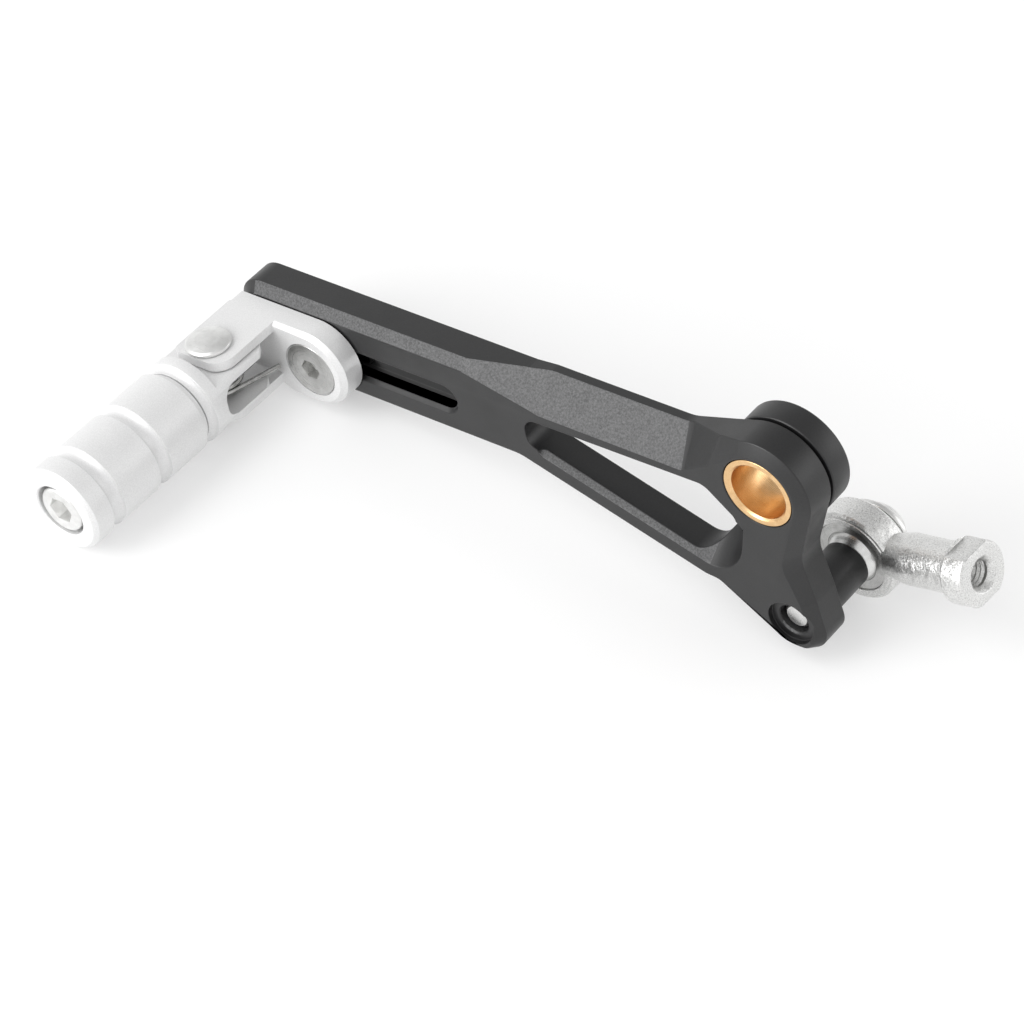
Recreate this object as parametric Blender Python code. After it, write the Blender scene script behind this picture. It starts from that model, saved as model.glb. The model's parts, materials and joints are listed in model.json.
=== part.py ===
"""Motorcycle gear shift lever with a folding, adjustable toe peg and a rod end.

The lever's own axes: X runs from the toe to the pivot, Y through the arm's thickness
(the toe peg points to -Y) and Z up across the arm.  The pivot axis is the Y axis, and the
arm's front face is Y = 0.  Everything hangs on one empty, which leans the lever back to the
attitude in which it lies on a flat surface, on its peg and the eye of its rod end.
"""

import math

import bmesh
import bpy
from mathutils import Matrix, Vector

MM = 0.001                        # the sizes below are in millimetres

LEAN = 12.36                      # degrees: the pivot end stands higher when the lever lies down

ARM_THICKNESS = 8.0
TOE_END = -128.0
TOE_TOP = 5.1
TOE_BOTTOM = -14.4
WAIST_TOP = 5.6                   # top edge beside the big facet
FACET_LOW = -1.4                  # lower edge of the big facet, on the front face
FACET_DEPTH = 6.0
BACK_CHAMFER = 0.6
ARC_STEPS = 6                     # pieces in each rounded corner of the arm

SLOT_LEFT = -120.0
SLOT_RIGHT = -72.4
SLOT_HEIGHT = 6.4
SLOT_Z = -6.1
CHANNEL_HEIGHT = 10.4             # rebate for the nut behind the slot
CHANNEL_DEPTH = 3.9

HUB_RADIUS = 11.0
HUB_FACE_RADIUS = 8.2
HUB_BORE = 7.6
BUSH_OUTER = 7.5
BUSH_INNER = 6.0
COLLAR_RADIUS = 11.2
COLLAR_START = 8.7
PIVOT_LENGTH = 14.2

LINK_X = 3.4                      # rod end bolt axis
LINK_Z = -31.2
BALL_CENTRE = 24.0                # from the arm's front face
BALL_RADIUS = 6.35
BALL_WIDTH = 9.0
EYE_RADIUS = 10.0
EYE_WIDTH = 6.75
ROD_LENGTH = 30.0
ROD_RAISE = 13.5                  # degrees above the arm's axis
ROD_TILT = 3.0                    # degrees towards the front

BOLT_X = -105.2                   # bracket bolt
PLATE_FRONT = -5.8
PLATE_BACK = -0.3
PLATE_RADIUS = 8.8
PIN_X = -120.5
PIN_Y = -16.6
PEG_Z = -4.7
EAR_TOP = 2.7
EAR_THICKNESS = 2.1
PEG_RADIUS = 9.4
PEG_END = -63.0
PEG_STEP = -24.2
PEG_SEAM = -28.7
SPIGOT_END = -36.3               # of the core, from the hinge pin
GROOVES = (-28.7, -42.6, -56.2)
GROOVE_HALF = 1.7
GROOVE_DEPTH = 1.2
TONGUE_HALF = 5.0
SPRING_SLOT_HALF = 3.5
WIRE = 0.55
SPRING_TURNS = 3


# ---------------------------------------------------------------- helpers

def clear_scene():
    for item in list(bpy.data.objects):
        bpy.data.objects.remove(item, do_unlink=True)


def make_material(name, colour, roughness, metallic):
    material = bpy.data.materials.new(name)
    material.use_nodes = True
    shader = material.node_tree.nodes["Principled BSDF"]
    shader.inputs["Base Color"].default_value = (*colour, 1.0)
    shader.inputs["Roughness"].default_value = roughness
    shader.inputs["Metallic"].default_value = metallic
    material.diffuse_color = (*colour, 1.0)
    return material


def make_empty(name, parent=None, location=(0, 0, 0), rotation=(0, 0, 0)):
    empty = bpy.data.objects.new(name, None)
    bpy.context.scene.collection.objects.link(empty)
    empty.empty_display_size = 0.01
    empty.parent = parent
    empty.location = Vector(location) * MM
    empty.rotation_euler = rotation
    return empty


def make_object(name, bm, parent, location=(0, 0, 0), material=None, smooth=35):
    """Turn a bmesh in millimetres into an object in metres, faces pointing out."""
    bmesh.ops.remove_doubles(bm, verts=bm.verts, dist=0.001)
    bmesh.ops.recalc_face_normals(bm, faces=bm.faces)
    bmesh.ops.scale(bm, vec=(MM, MM, MM), verts=bm.verts)
    mesh = bpy.data.meshes.new(name)
    bm.to_mesh(mesh)
    bm.free()
    mesh.shade_smooth()
    mesh.set_sharp_from_angle(angle=math.radians(smooth))
    item = bpy.data.objects.new(name, mesh)
    bpy.context.scene.collection.objects.link(item)
    item.parent = parent
    item.location = Vector(location) * MM
    if material:
        mesh.materials.append(material)
    return item


def boolean(target, other, operation="DIFFERENCE"):
    """Cut the target with another object, or join that object to it."""
    modifier = target.modifiers.new(other.name, "BOOLEAN")
    modifier.operation = operation
    modifier.object = other
    modifier.solver = "EXACT"
    other.hide_render = True
    other.display_type = "WIRE"
    other.hide_set(True)
    return target


def turned(profile, steps=32, axis="Y"):
    """Spin a closed (radius, along) outline about an axis of the piece."""
    bm = bmesh.new()
    verts = [bm.verts.new((radius, 0.0, along)) for radius, along in profile]
    edges = [bm.edges.new((a, b)) for a, b in zip(verts, verts[1:] + verts[:1])]
    bmesh.ops.spin(bm, geom=verts + edges, cent=(0, 0, 0), axis=(0, 0, 1),
                   angle=2 * math.pi, steps=steps, use_merge=True)
    bmesh.ops.remove_doubles(bm, verts=bm.verts, dist=0.001)
    bmesh.ops.dissolve_degenerate(bm, dist=0.0005, edges=bm.edges)
    turn = {"Y": Matrix.Rotation(-math.pi / 2, 4, "X"), "X": Matrix.Rotation(math.pi / 2, 4, "Y"),
            "Z": Matrix.Identity(4)}[axis]
    bmesh.ops.transform(bm, matrix=turn, verts=bm.verts)
    return bm


def disc(radius, start, end, chamfer=0.0):
    """Outline of a plain round bar, with an optional chamfer at both ends."""
    if not chamfer:
        return [(0, start), (radius, start), (radius, end), (0, end)]
    return [(0, start), (radius - chamfer, start), (radius, start + chamfer),
            (radius, end - chamfer), (radius - chamfer, end), (0, end)]


def ring(inner, outer, start, end, chamfer=0.3):
    """Outline of a plain ring or tube, chamfered at its outer edges."""
    return [(inner, start), (outer - chamfer, start), (outer, start + chamfer),
            (outer, end - chamfer), (outer - chamfer, end), (inner, end)]


def rounded(corners, steps=ARC_STEPS):
    """Round each corner (x, z, radius) of a closed outline with an arc of equal steps."""
    points = []
    count = len(corners)
    for i, (x, z, radius) in enumerate(corners):
        here = Vector((x, z))
        before = (Vector(corners[i - 1][:2]) - here).normalized()
        after = (Vector(corners[(i + 1) % count][:2]) - here).normalized()
        half = before.angle(after) / 2
        if half > math.radians(89.5):
            points += [here + after * (0.4 * step / steps - 0.2) for step in range(steps + 1)]
            continue
        centre = here + (before + after).normalized() * (radius / math.sin(half))
        start = here + before * (radius / math.tan(half)) - centre
        sweep = math.pi - 2 * half
        if before.x * after.y - before.y * after.x < 0:
            sweep = -sweep
        for step in range(steps + 1):
            turn = Matrix.Rotation(-sweep * step / steps, 2)
            points.append(centre + turn @ start)
    return points


def prism(outline, front, back):
    """A solid with an (x, z) outline between two values of y."""
    bm = bmesh.new()
    face = bm.faces.new([bm.verts.new((x, front, z)) for x, z in outline])
    grown = bmesh.ops.extrude_face_region(bm, geom=[face])
    moved = [v for v in grown["geom"] if isinstance(v, bmesh.types.BMVert)]
    bmesh.ops.translate(bm, vec=(0, back - front, 0), verts=moved)
    return bm


def box(low, high):
    bm = bmesh.new()
    bmesh.ops.create_cube(bm, size=1.0)
    size = Vector(high) - Vector(low)
    bmesh.ops.scale(bm, vec=size, verts=bm.verts)
    bmesh.ops.translate(bm, vec=(Vector(high) + Vector(low)) / 2, verts=bm.verts)
    return bm


def bar_along_y(name, parent, x, z, radius, start, end, steps=32):
    """A round cutter parallel to the pivot axis."""
    return make_object(name, turned(disc(radius, start, end), steps), parent, (x, 0, z))


def hexagon_bar(across_flats, start, end):
    """A six-sided socket cutter along Y."""
    radius = across_flats / math.sqrt(3)
    corners = [(radius * math.cos(math.pi / 3 * i), radius * math.sin(math.pi / 3 * i)) for i in range(6)]
    return prism(corners, start, end)


# ---------------------------------------------------------------- the arm

def tangent(angle_a, angle_b, radius):
    """Corner where the tangents of the hub circle at two angles meet."""
    a = math.radians(angle_a)
    b = math.radians(angle_b)
    reach = radius / math.cos((a - b) / 2)
    middle = (a + b) / 2
    return (reach * math.cos(middle), reach * math.sin(middle), radius * 0.97)


def arm_corners():
    """Corners of the arm's outline, of its front face, and the depth of the band between them."""
    top = TOE_TOP
    low = TOE_BOTTOM
    hub = HUB_RADIUS
    face = HUB_FACE_RADIUS
    return [
        # outline (x, z, radius), front face (x, z, radius), depth of the band
        ((TOE_END, top, 6.0), (TOE_END + 2.4, top - 2.4, 3.6), 1.75),
        ((-69.0, top, 2.0), (-69.4, top - 2.4, 2.0), 1.75),
        ((-56.0, top, 2.0), (-55.4, -0.4, 2.0), 5.2),
        ((-51.0, WAIST_TOP, 2.0), (-51.2, FACET_LOW, 2.0), FACET_DEPTH),
        ((-18.6, WAIST_TOP, 4.0), (-17.3, FACET_LOW, 2.0), FACET_DEPTH),
        ((-8.6, 8.75, 4.0), (-10.2, 2.8, 2.0), 2.6),
        (tangent(107, 40, hub), tangent(112, 40, face), 1.0),
        (tangent(40, -18, hub), tangent(40, -18, face), 1.0),
        ((6.6, -15.3, 7.0), (3.2, -16.8, 6.0), 1.8),
        ((9.0, -25.0, 4.0), (6.6, -25.6, 4.0), 1.9),
        ((11.2, -37.2, 4.6), (7.9, -36.4, 2.0), 1.8),
        ((1.8, -37.2, 7.0), (2.0, -36.4, 6.4), 0.8),
        ((-12.6, -27.4, 4.0), (-12.4, -26.6, 4.0), 0.8),
        ((-15.6, -27.3, 4.0), (-15.4, -26.4, 4.0), 0.8),
        ((-58.0, low, 10.0), (-58.0, low + 0.8, 10.0), 0.8),
        ((TOE_END, low, 9.6), (TOE_END + 1.6, low + 0.8, 8.4), 0.8),
    ]


def make_arm(parent, material):
    corners = arm_corners()
    outline = rounded([c[0] for c in corners])
    front = rounded([c[1] for c in corners])
    depths = [c[2] for c in corners for _ in range(ARC_STEPS + 1)]
    bm = bmesh.new()
    front_loop = [bm.verts.new((x, 0, z)) for x, z in front]
    band_loop = [bm.verts.new((x, depth, z)) for (x, z), depth in zip(outline, depths)]
    back_loop = [bm.verts.new((x, ARM_THICKNESS, z)) for x, z in outline]
    bm.faces.new(front_loop)
    back = bm.faces.new(list(reversed(back_loop)))
    count = len(outline)
    for i in range(count):
        j = (i + 1) % count
        bm.faces.new((front_loop[j], front_loop[i], band_loop[i], band_loop[j]))
        bm.faces.new((band_loop[j], band_loop[i], back_loop[i], back_loop[j]))
    bmesh.ops.recalc_face_normals(bm, faces=bm.faces)
    bmesh.ops.inset_region(bm, faces=[back], thickness=BACK_CHAMFER, use_even_offset=True)
    rim = {v for v in back_loop if v.is_valid}
    bmesh.ops.translate(bm, vec=(0, -BACK_CHAMFER, 0), verts=list(rim))
    arm = make_object("lever_arm", bm, parent, material=material, smooth=28)

    window = rounded([(-55.4, -3.6, 3.1), (-12.6, -3.0, 4.0), (-5.4, -9.3, 2.0),
                      (-15.2, -22.4, 4.5), (-55.4, -10.1, 3.1)])
    boolean(arm, make_object("window_cutter", prism(window, -1, ARM_THICKNESS + 1), parent))
    boolean(arm, window_pocket(parent))

    slot_half = SLOT_HEIGHT / 2
    slot = rounded([(SLOT_LEFT, SLOT_Z + slot_half, slot_half - 0.01),
                    (SLOT_RIGHT, SLOT_Z + slot_half, slot_half - 0.01),
                    (SLOT_RIGHT, SLOT_Z - slot_half, slot_half - 0.01),
                    (SLOT_LEFT, SLOT_Z - slot_half, slot_half - 0.01)])
    boolean(arm, make_object("slot_cutter", prism(slot, -1, ARM_THICKNESS + 1), parent))
    channel_half = CHANNEL_HEIGHT / 2
    channel_left = SLOT_LEFT - 2
    channel_right = SLOT_RIGHT + 6
    channel_top = SLOT_Z + channel_half
    channel_low = SLOT_Z - channel_half
    channel = rounded([(channel_left, channel_top, 3.0), (channel_right, channel_top, 3.0),
                       (channel_right, channel_low, 3.0), (channel_left, channel_low, 3.0)])
    cutter = prism(channel, ARM_THICKNESS - CHANNEL_DEPTH, ARM_THICKNESS + 1)
    boolean(arm, make_object("channel_cutter", cutter, parent))

    boolean(arm, bar_along_y("hub_bore_cutter", parent, 0, 0, HUB_BORE, -1, ARM_THICKNESS + 1, 40))
    boolean(arm, bar_along_y("link_hole_cutter", parent, LINK_X, LINK_Z, 3.1, -1, ARM_THICKNESS + 1, 24))
    boolean(arm, bar_along_y("spot_face_cutter", parent, LINK_X, LINK_Z, 4.9, -1, 1.2))
    return arm


def window_pocket(parent):
    """Cutter for the sloping facet under the window, which ends in a rounded wall at the right."""
    along = Vector((0.957, 0.0, -0.29)).normalized()
    inward = Vector((0.0, 0.793, 0.61)).normalized()
    outward = along.cross(inward)
    axes = Matrix((along, inward, outward)).transposed().to_4x4()
    axes.translation = (-13.4, 0.0, -23.9)
    sweep = rounded([(-42.0, 0.0, 2.0), (6.3, 0.0, 8.0), (6.3, 17.0, 0.5), (-42.0, 17.0, 0.5)])
    bm = prism(sweep, -3.0, 11.0)
    bmesh.ops.transform(bm, matrix=axes, verts=bm.verts)
    pocket = make_object("window_pocket_cutter", bm, parent)
    opening = rounded([(-55.4, -3.6, 3.1), (-12.6, -3.0, 4.0), (-4.0, -11.5, 2.6), (-7.5, -27.0, 0.5),
                       (-55.4, -27.0, 0.5)])
    opening = make_object("window_opening", prism(opening, -2, ARM_THICKNESS + 1.5), parent)
    return boolean(pocket, opening, "INTERSECT")


def make_pivot(parent, bronze, black, rubber):
    bush = [(BUSH_INNER, 0.7), (BUSH_INNER + 0.5, 0.1), (BUSH_OUTER - 0.2, 0.1), (BUSH_OUTER, 0.4),
            (BUSH_OUTER, PIVOT_LENGTH - 0.3), (BUSH_OUTER - 0.3, PIVOT_LENGTH),
            (BUSH_INNER + 0.5, PIVOT_LENGTH), (BUSH_INNER, PIVOT_LENGTH - 0.6)]
    make_object("pivot_bush", turned(bush, 40), parent, material=bronze)
    collar = ring(HUB_BORE, COLLAR_RADIUS, COLLAR_START, PIVOT_LENGTH, 0.5)
    make_object("pivot_collar", turned(collar, 40), parent, material=black)
    seal = ring(HUB_BORE + 0.05, COLLAR_RADIUS - 0.9, ARM_THICKNESS + 0.1, COLLAR_START - 0.1, 0.12)
    make_object("pivot_seal", turned(seal, 40), parent, material=rubber)


# ---------------------------------------------------------------- the adjustable bracket

def make_bracket(slide, silver):
    """Plate with a round end, and two ears that hold the peg's pin."""
    left = -126.2 - BOLT_X
    top = EAR_TOP
    ear_bottom = 2 * PEG_Z - EAR_TOP
    bottom = SLOT_Z - PLATE_RADIUS
    chamfer = 1.1
    end = PLATE_RADIUS

    def plate(inset, radius):
        return rounded([(left + inset * 0.3, top, 0.6), (end - inset, top - inset, radius),
                        (end - inset, bottom + inset, radius), (-6.0, bottom + inset, 3.0),
                        (-10.4, ear_bottom + inset * 0.3, 3.0), (left + inset * 0.3, ear_bottom, 0.6)], 8)

    bm = bmesh.new()
    loops = []
    for outline, y in ((plate(chamfer, end - chamfer - 0.05), PLATE_FRONT),
                       (plate(0, end - 0.05), PLATE_FRONT + chamfer), (plate(0, end - 0.05), PLATE_BACK)):
        loops.append([bm.verts.new((x, y, z)) for x, z in outline])
    bm.faces.new(loops[0])
    bm.faces.new(list(reversed(loops[-1])))
    for a, b in zip(loops, loops[1:]):
        for i in range(len(a)):
            j = (i + 1) % len(a)
            bm.faces.new((a[j], a[i], b[i], b[j]))
    bracket = make_object("toe_bracket", bm, slide, material=silver, smooth=32)

    ear_left = -126.2 - BOLT_X
    ear_right = -113.4 - BOLT_X
    nose = PIN_Y - 4.6
    corners = [(ear_left, nose, 1.6), (ear_right, nose, 4.0), (ear_right, PLATE_FRONT + 2, 0.5),
               (ear_left, PLATE_FRONT + 2, 0.5)]
    outline = rounded(corners)
    for name, low, high in (("upper_ear", EAR_TOP - EAR_THICKNESS, EAR_TOP),
                            ("lower_ear", ear_bottom, ear_bottom + EAR_THICKNESS)):
        ear = make_object(name, turn_to_plan(prism(outline, low, high)), slide)
        boolean(bracket, ear, "UNION")
    pin_hole = make_object("pin_hole_cutter", turned(disc(3.1, -20, 10), 24, "Z"), slide,
                           (PIN_X - BOLT_X, PIN_Y, 0))
    boolean(bracket, pin_hole)
    seat = [(0, PLATE_FRONT - 1), (6.2, PLATE_FRONT - 1), (6.2, PLATE_FRONT + 0.35),
            (3.3, PLATE_FRONT + 3.4), (3.3, 1.0), (0, 1.0)]
    boolean(bracket, make_object("bolt_seat_cutter", turned(seat, 32), slide, (0, 0, SLOT_Z)))
    boolean(bracket, bar_along_y("dowel_hole_cutter", slide, -8.2, SLOT_Z, 2.6, PLATE_FRONT + 2.2, 1, 20))
    return bracket


def make_bracket_fixings(slide, steel, dark_steel):
    bolt = [(0, PLATE_FRONT + 0.05), (5.9, PLATE_FRONT + 0.05), (6.0, PLATE_FRONT + 0.3),
            (3.0, PLATE_FRONT + 3.3), (3.0, 7.0), (2.5, 7.4), (0, 7.4)]
    head = make_object("bracket_bolt", turned(bolt, 32), slide, (0, 0, SLOT_Z), steel)
    socket = hexagon_bar(4.0, PLATE_FRONT - 1, PLATE_FRONT + 2.4)
    boolean(head, make_object("bracket_bolt_socket_cutter", socket, slide, (0, 0, SLOT_Z)))

    nut_outline = rounded([(-12.0, 4.9, 2.6), (6.6, 4.9, 2.6), (6.6, -4.9, 2.6), (-12.0, -4.9, 2.6)], 4)
    nut = make_object("slot_nut", prism(nut_outline, 4.4, 7.6), slide, (0, 0, SLOT_Z), dark_steel)
    boolean(nut, bar_along_y("nut_thread_cutter", slide, 0, SLOT_Z, 3.1, 3, 9, 24))
    dowel = disc(2.5, PLATE_FRONT + 2.5, 4.0, 0.4)
    make_object("bracket_dowel", turned(dowel, 20), slide, (-8.2, 0, SLOT_Z), dark_steel)


# ---------------------------------------------------------------- the folding peg

def make_pin(hinge, steel, dark_steel):
    """Headed pin, its sleeve and the washer and clip under the lower ear.  Z = 0 is the peg's axis."""
    top = EAR_TOP - PEG_Z
    bottom = -top
    pin = [(0, bottom - 1.35), (2.6, bottom - 1.35), (2.9, bottom - 1.1), (2.9, top + 0.1),
           (4.5, top + 0.1), (4.75, top + 0.35), (4.75, top + 0.8), (4.45, top + 1.05),
           (2.6, top + 1.65), (0, top + 1.85)]
    make_object("hinge_pin", turned(pin, 32, "Z"), hinge, material=steel)
    washer = ring(3.05, 4.8, bottom - 0.5, bottom - 0.1, 0.1)
    make_object("pin_washer", turned(washer, 24, "Z"), hinge, material=steel)
    clip = ring(3.0, 4.4, bottom - 1.05, bottom - 0.65, 0.08)
    clip = make_object("pin_clip", turned(clip, 24, "Z"), hinge, material=dark_steel)
    mouth = box((0, -1.3, bottom - 2), (6, 1.3, bottom))
    boolean(clip, make_object("clip_mouth_cutter", mouth, hinge))
    sleeve = ring(3.05, 3.9, -TONGUE_HALF + 1.9, TONGUE_HALF - 1.9, 0.15)
    make_object("spring_sleeve", turned(sleeve, 24, "Z"), hinge, material=steel)


def make_spring(hinge, steel):
    """Torsion spring: close coils round the sleeve, one leg on the bracket, one in the peg."""
    radius = 4.9
    pitch = 2 * WIRE + 0.12
    start = math.radians(-14)
    total = SPRING_TURNS * 2 * math.pi + start
    steps = SPRING_TURNS * 16
    points = [Vector((7.4, 10.1, -2.8))]
    for i in range(steps + 1):
        turn = total * i / steps
        angle = start - turn
        height = -1.9 + pitch * turn / (2 * math.pi)
        points.append(Vector((radius * math.cos(angle), radius * math.sin(angle), height)))
    points.append(Vector((radius, -5.3, points[-1].z)))
    curve = bpy.data.curves.new("torsion_spring", "CURVE")
    curve.dimensions = "3D"
    curve.bevel_depth = WIRE * MM
    curve.bevel_resolution = 1
    curve.use_fill_caps = True
    spline = curve.splines.new("POLY")
    spline.points.add(len(points) - 1)
    for point, place in zip(spline.points, points):
        point.co = (*(place * MM), 1)
    curve.materials.append(steel)
    spring = bpy.data.objects.new("torsion_spring", curve)
    bpy.context.scene.collection.objects.link(spring)
    spring.parent = hinge
    return spring


def groove_points(centre, top, start=0.0, end=math.pi):
    """A round-bottomed groove in a turned outline, walked towards -Y."""
    steps = 5
    points = []
    for i in range(steps + 1):
        angle = start + (end - start) * i / steps
        points.append((top - GROOVE_DEPTH * math.sin(angle), centre + GROOVE_HALF * math.cos(angle)))
    return points


def make_peg(hinge, silver, steel):
    """Core with the slotted tongue, grooved sleeve, and the screw that holds the sleeve."""
    seam = PEG_SEAM - PIN_Y
    inner = 11.0
    core = [(0, inner), (PEG_RADIUS, inner)]
    core += groove_points(seam, PEG_RADIUS, 0.0, math.pi / 2 - 0.12)
    core += [(5.5, seam + 0.2), (5.5, SPIGOT_END + 0.3), (5.2, SPIGOT_END), (0, SPIGOT_END)]
    body = make_object("peg_core", turned(core), hinge, material=silver, smooth=32)
    step = PEG_STEP - PIN_Y
    flats = (("upper_flat_cutter", TONGUE_HALF, 14), ("lower_flat_cutter", -14, -TONGUE_HALF))
    for name, low, high in flats:
        boolean(body, make_object(name, box((-14, step, low), (14, 14, high)), hinge))
    end = rounded([(-15, step - 3, 0.5), (-15, 16, 0.5), (15, 16, 0.5), (15, step - 3, 0.5)], 1)
    keep = rounded([(-9.9, -12, 0.3), (9.9, -12, 0.3), (9.45, 9.3, 8.9), (-2.2, 9.4, 3.0),
                    (-4.0, 10.2, 0.4), (-9.9, 10.2, 0.6)], 6)
    tip = prism(end, -8, 8)
    tip = make_object("tongue_end_cutter", turn_to_plan(tip), hinge)
    boolean(tip, make_object("tongue_plan", turn_to_plan(prism(keep, -9, 9)), hinge))
    boolean(body, tip)
    slot = rounded([(16, SPRING_SLOT_HALF, 0.4), (-6.9, SPRING_SLOT_HALF, 3.0),
                    (-6.9, -SPRING_SLOT_HALF, 3.0), (16, -SPRING_SLOT_HALF, 0.4)])
    slot = prism(slot, -12, 12)
    bmesh.ops.rotate(slot, cent=(0, 0, 0), matrix=Matrix.Rotation(math.pi / 2, 3, "Z"), verts=slot.verts)
    boolean(body, make_object("spring_slot_cutter", slot, hinge))
    boolean(body, make_object("lug_hole_cutter", turned(disc(3.1, -9, 9), 24, "Z"), hinge))
    thread = turned(disc(3.1, -50, -24), 24)
    boolean(body, make_object("core_thread_cutter", thread, hinge))

    end_face = PEG_END - PIN_Y
    sleeve = groove_points(seam, PEG_RADIUS, math.pi / 2 + 0.12, math.pi)
    for groove in GROOVES[1:]:
        sleeve += groove_points(groove - PIN_Y, PEG_RADIUS)
    sleeve += [(PEG_RADIUS, end_face + 0.9), (PEG_RADIUS - 0.9, end_face), (6.1, end_face),
               (5.75, end_face + 0.4), (5.75, end_face + 7.4), (3.3, end_face + 7.4),
               (3.3, end_face + 9.9), (5.8, end_face + 9.9), (5.8, seam - 0.2)]
    make_object("peg_sleeve", turned(sleeve), hinge, material=silver, smooth=32)
    washer = ring(3.15, 5.5, end_face + 6.3, end_face + 7.1, 0.1)
    make_object("peg_washer", turned(washer, 24), hinge, material=steel)
    head = end_face + 0.3
    screw = [(0, head), (4.7, head), (5.0, head + 0.3), (5.0, head + 5.7), (3.0, head + 5.7),
             (3.0, head + 18.6), (2.6, head + 19.0), (0, head + 19.0)]
    screw = make_object("peg_screw", turned(screw, 24), hinge, material=steel)
    boolean(screw, make_object("peg_screw_socket_cutter", hexagon_bar(5.0, head - 1, head + 2.8), hinge))


def turn_to_plan(bm):
    """Turn an (x, z) prism so that its outline lies in plan: z becomes y."""
    swap = Matrix(((1, 0, 0, 0), (0, 0, 1, 0), (0, 1, 0, 0), (0, 0, 0, 1)))
    bmesh.ops.transform(bm, matrix=swap, verts=bm.verts)
    return bm


# ---------------------------------------------------------------- the rod end

def ball_profile(radius, half, bore, steps=8):
    reach = math.asin(half / radius)
    arc = [(radius * math.cos(reach * (2 * i / steps - 1)), radius * math.sin(reach * (2 * i / steps - 1)))
           for i in range(steps + 1)]
    return arc + [(bore, half), (bore, -half)]


def make_rod_end(rod, zinc, steel, liner):
    """Female rod end: X along the shank, Y along the ball's bore, origin at the ball's centre."""
    make_object("rod_end_ball", turned(ball_profile(BALL_RADIUS, BALL_WIDTH / 2, 3.1), 32), rod.parent,
                material=steel)
    half = 2.9
    arc = ball_profile(BALL_RADIUS + 0.06, half, 0)[:-2]
    race = list(reversed(arc)) + [(7.7, -half), (7.7, half)]
    make_object("rod_end_race", turned(race, 32), rod, material=liner)
    wide = EYE_WIDTH / 2
    eye = [(7.8, -wide + 0.5), (8.2, -wide), (9.5, -wide), (EYE_RADIUS, -wide + 0.5),
           (EYE_RADIUS, wide - 0.5), (9.5, wide), (8.2, wide), (7.8, wide - 0.5)]
    housing = make_object("rod_end_housing", turned(eye, 40), rod, material=zinc)
    shank = [(0, 8.6), (4.3, 8.6), (5.1, 13.0), (5.0, 24.6), (6.1, 24.6), (6.5, 25.0),
             (6.5, ROD_LENGTH - 0.5), (6.0, ROD_LENGTH), (0, ROD_LENGTH)]
    boolean(housing, make_object("shank_solid", turned(shank, 32, "X"), rod), "UNION")
    hole = [(0, 14.0), (2.6, 15.0), (2.6, ROD_LENGTH - 1.0), (3.7, ROD_LENGTH + 0.1), (3.7, 34), (0, 34)]
    boolean(housing, make_object("rod_thread_cutter", turned(hole, 24, "X"), rod))
    for name, low, high in (("upper_spanner_flat", 5.5, 9), ("lower_spanner_flat", -9, -5.5)):
        boolean(housing, make_object(name, box((24.9, -9, low), (32, 9, high)), rod))


def make_link_fixings(link, steel, black):
    """Bolt, spacer and washer that carry the ball.  Y = 0 is the arm's front face."""
    ball_front = BALL_CENTRE - BALL_WIDTH / 2
    ball_back = BALL_CENTRE + BALL_WIDTH / 2
    spacer = ring(3.15, 4.95, ARM_THICKNESS + 0.3, ball_front - 0.3, 0.4)
    make_object("link_spacer", turned(spacer, 32), link, material=black)
    washer = ring(3.15, 7.3, ball_back + 0.3, ball_back + 1.5, 0.25)
    make_object("link_washer", turned(washer, 32), link, material=steel)
    seat = ball_back + 1.8
    bolt = [(0, 1.5), (2.5, 1.5), (2.95, 1.95), (2.95, seat), (5.2, seat), (5.25, seat + 1.1),
            (4.6, seat + 2.3), (3.2, seat + 3.1), (0, seat + 3.1)]
    bolt = make_object("link_bolt", turned(bolt, 24), link, material=steel)
    boolean(bolt, make_object("link_bolt_socket_cutter", hexagon_bar(4.0, seat + 1.0, seat + 5), link))


# ---------------------------------------------------------------- assembly

def stand_on_floor(root):
    """Move the whole lever so that its lowest point is at zero and its box is centred on Z."""
    bpy.context.view_layer.update()
    graph = bpy.context.evaluated_depsgraph_get()
    low = Vector((9, 9, 9))
    high = -low
    for item in bpy.context.scene.objects:
        if item.type == "EMPTY" or item.hide_render:
            continue
        shape = item.evaluated_get(graph)
        mesh = shape.to_mesh()
        for vertex in mesh.vertices:
            place = shape.matrix_world @ vertex.co
            low = Vector(map(min, low, place))
            high = Vector(map(max, high, place))
        shape.to_mesh_clear()
    root.location = (-(low.x + high.x) / 2, -(low.y + high.y) / 2, -low.z)
    bpy.context.view_layer.update()


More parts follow.
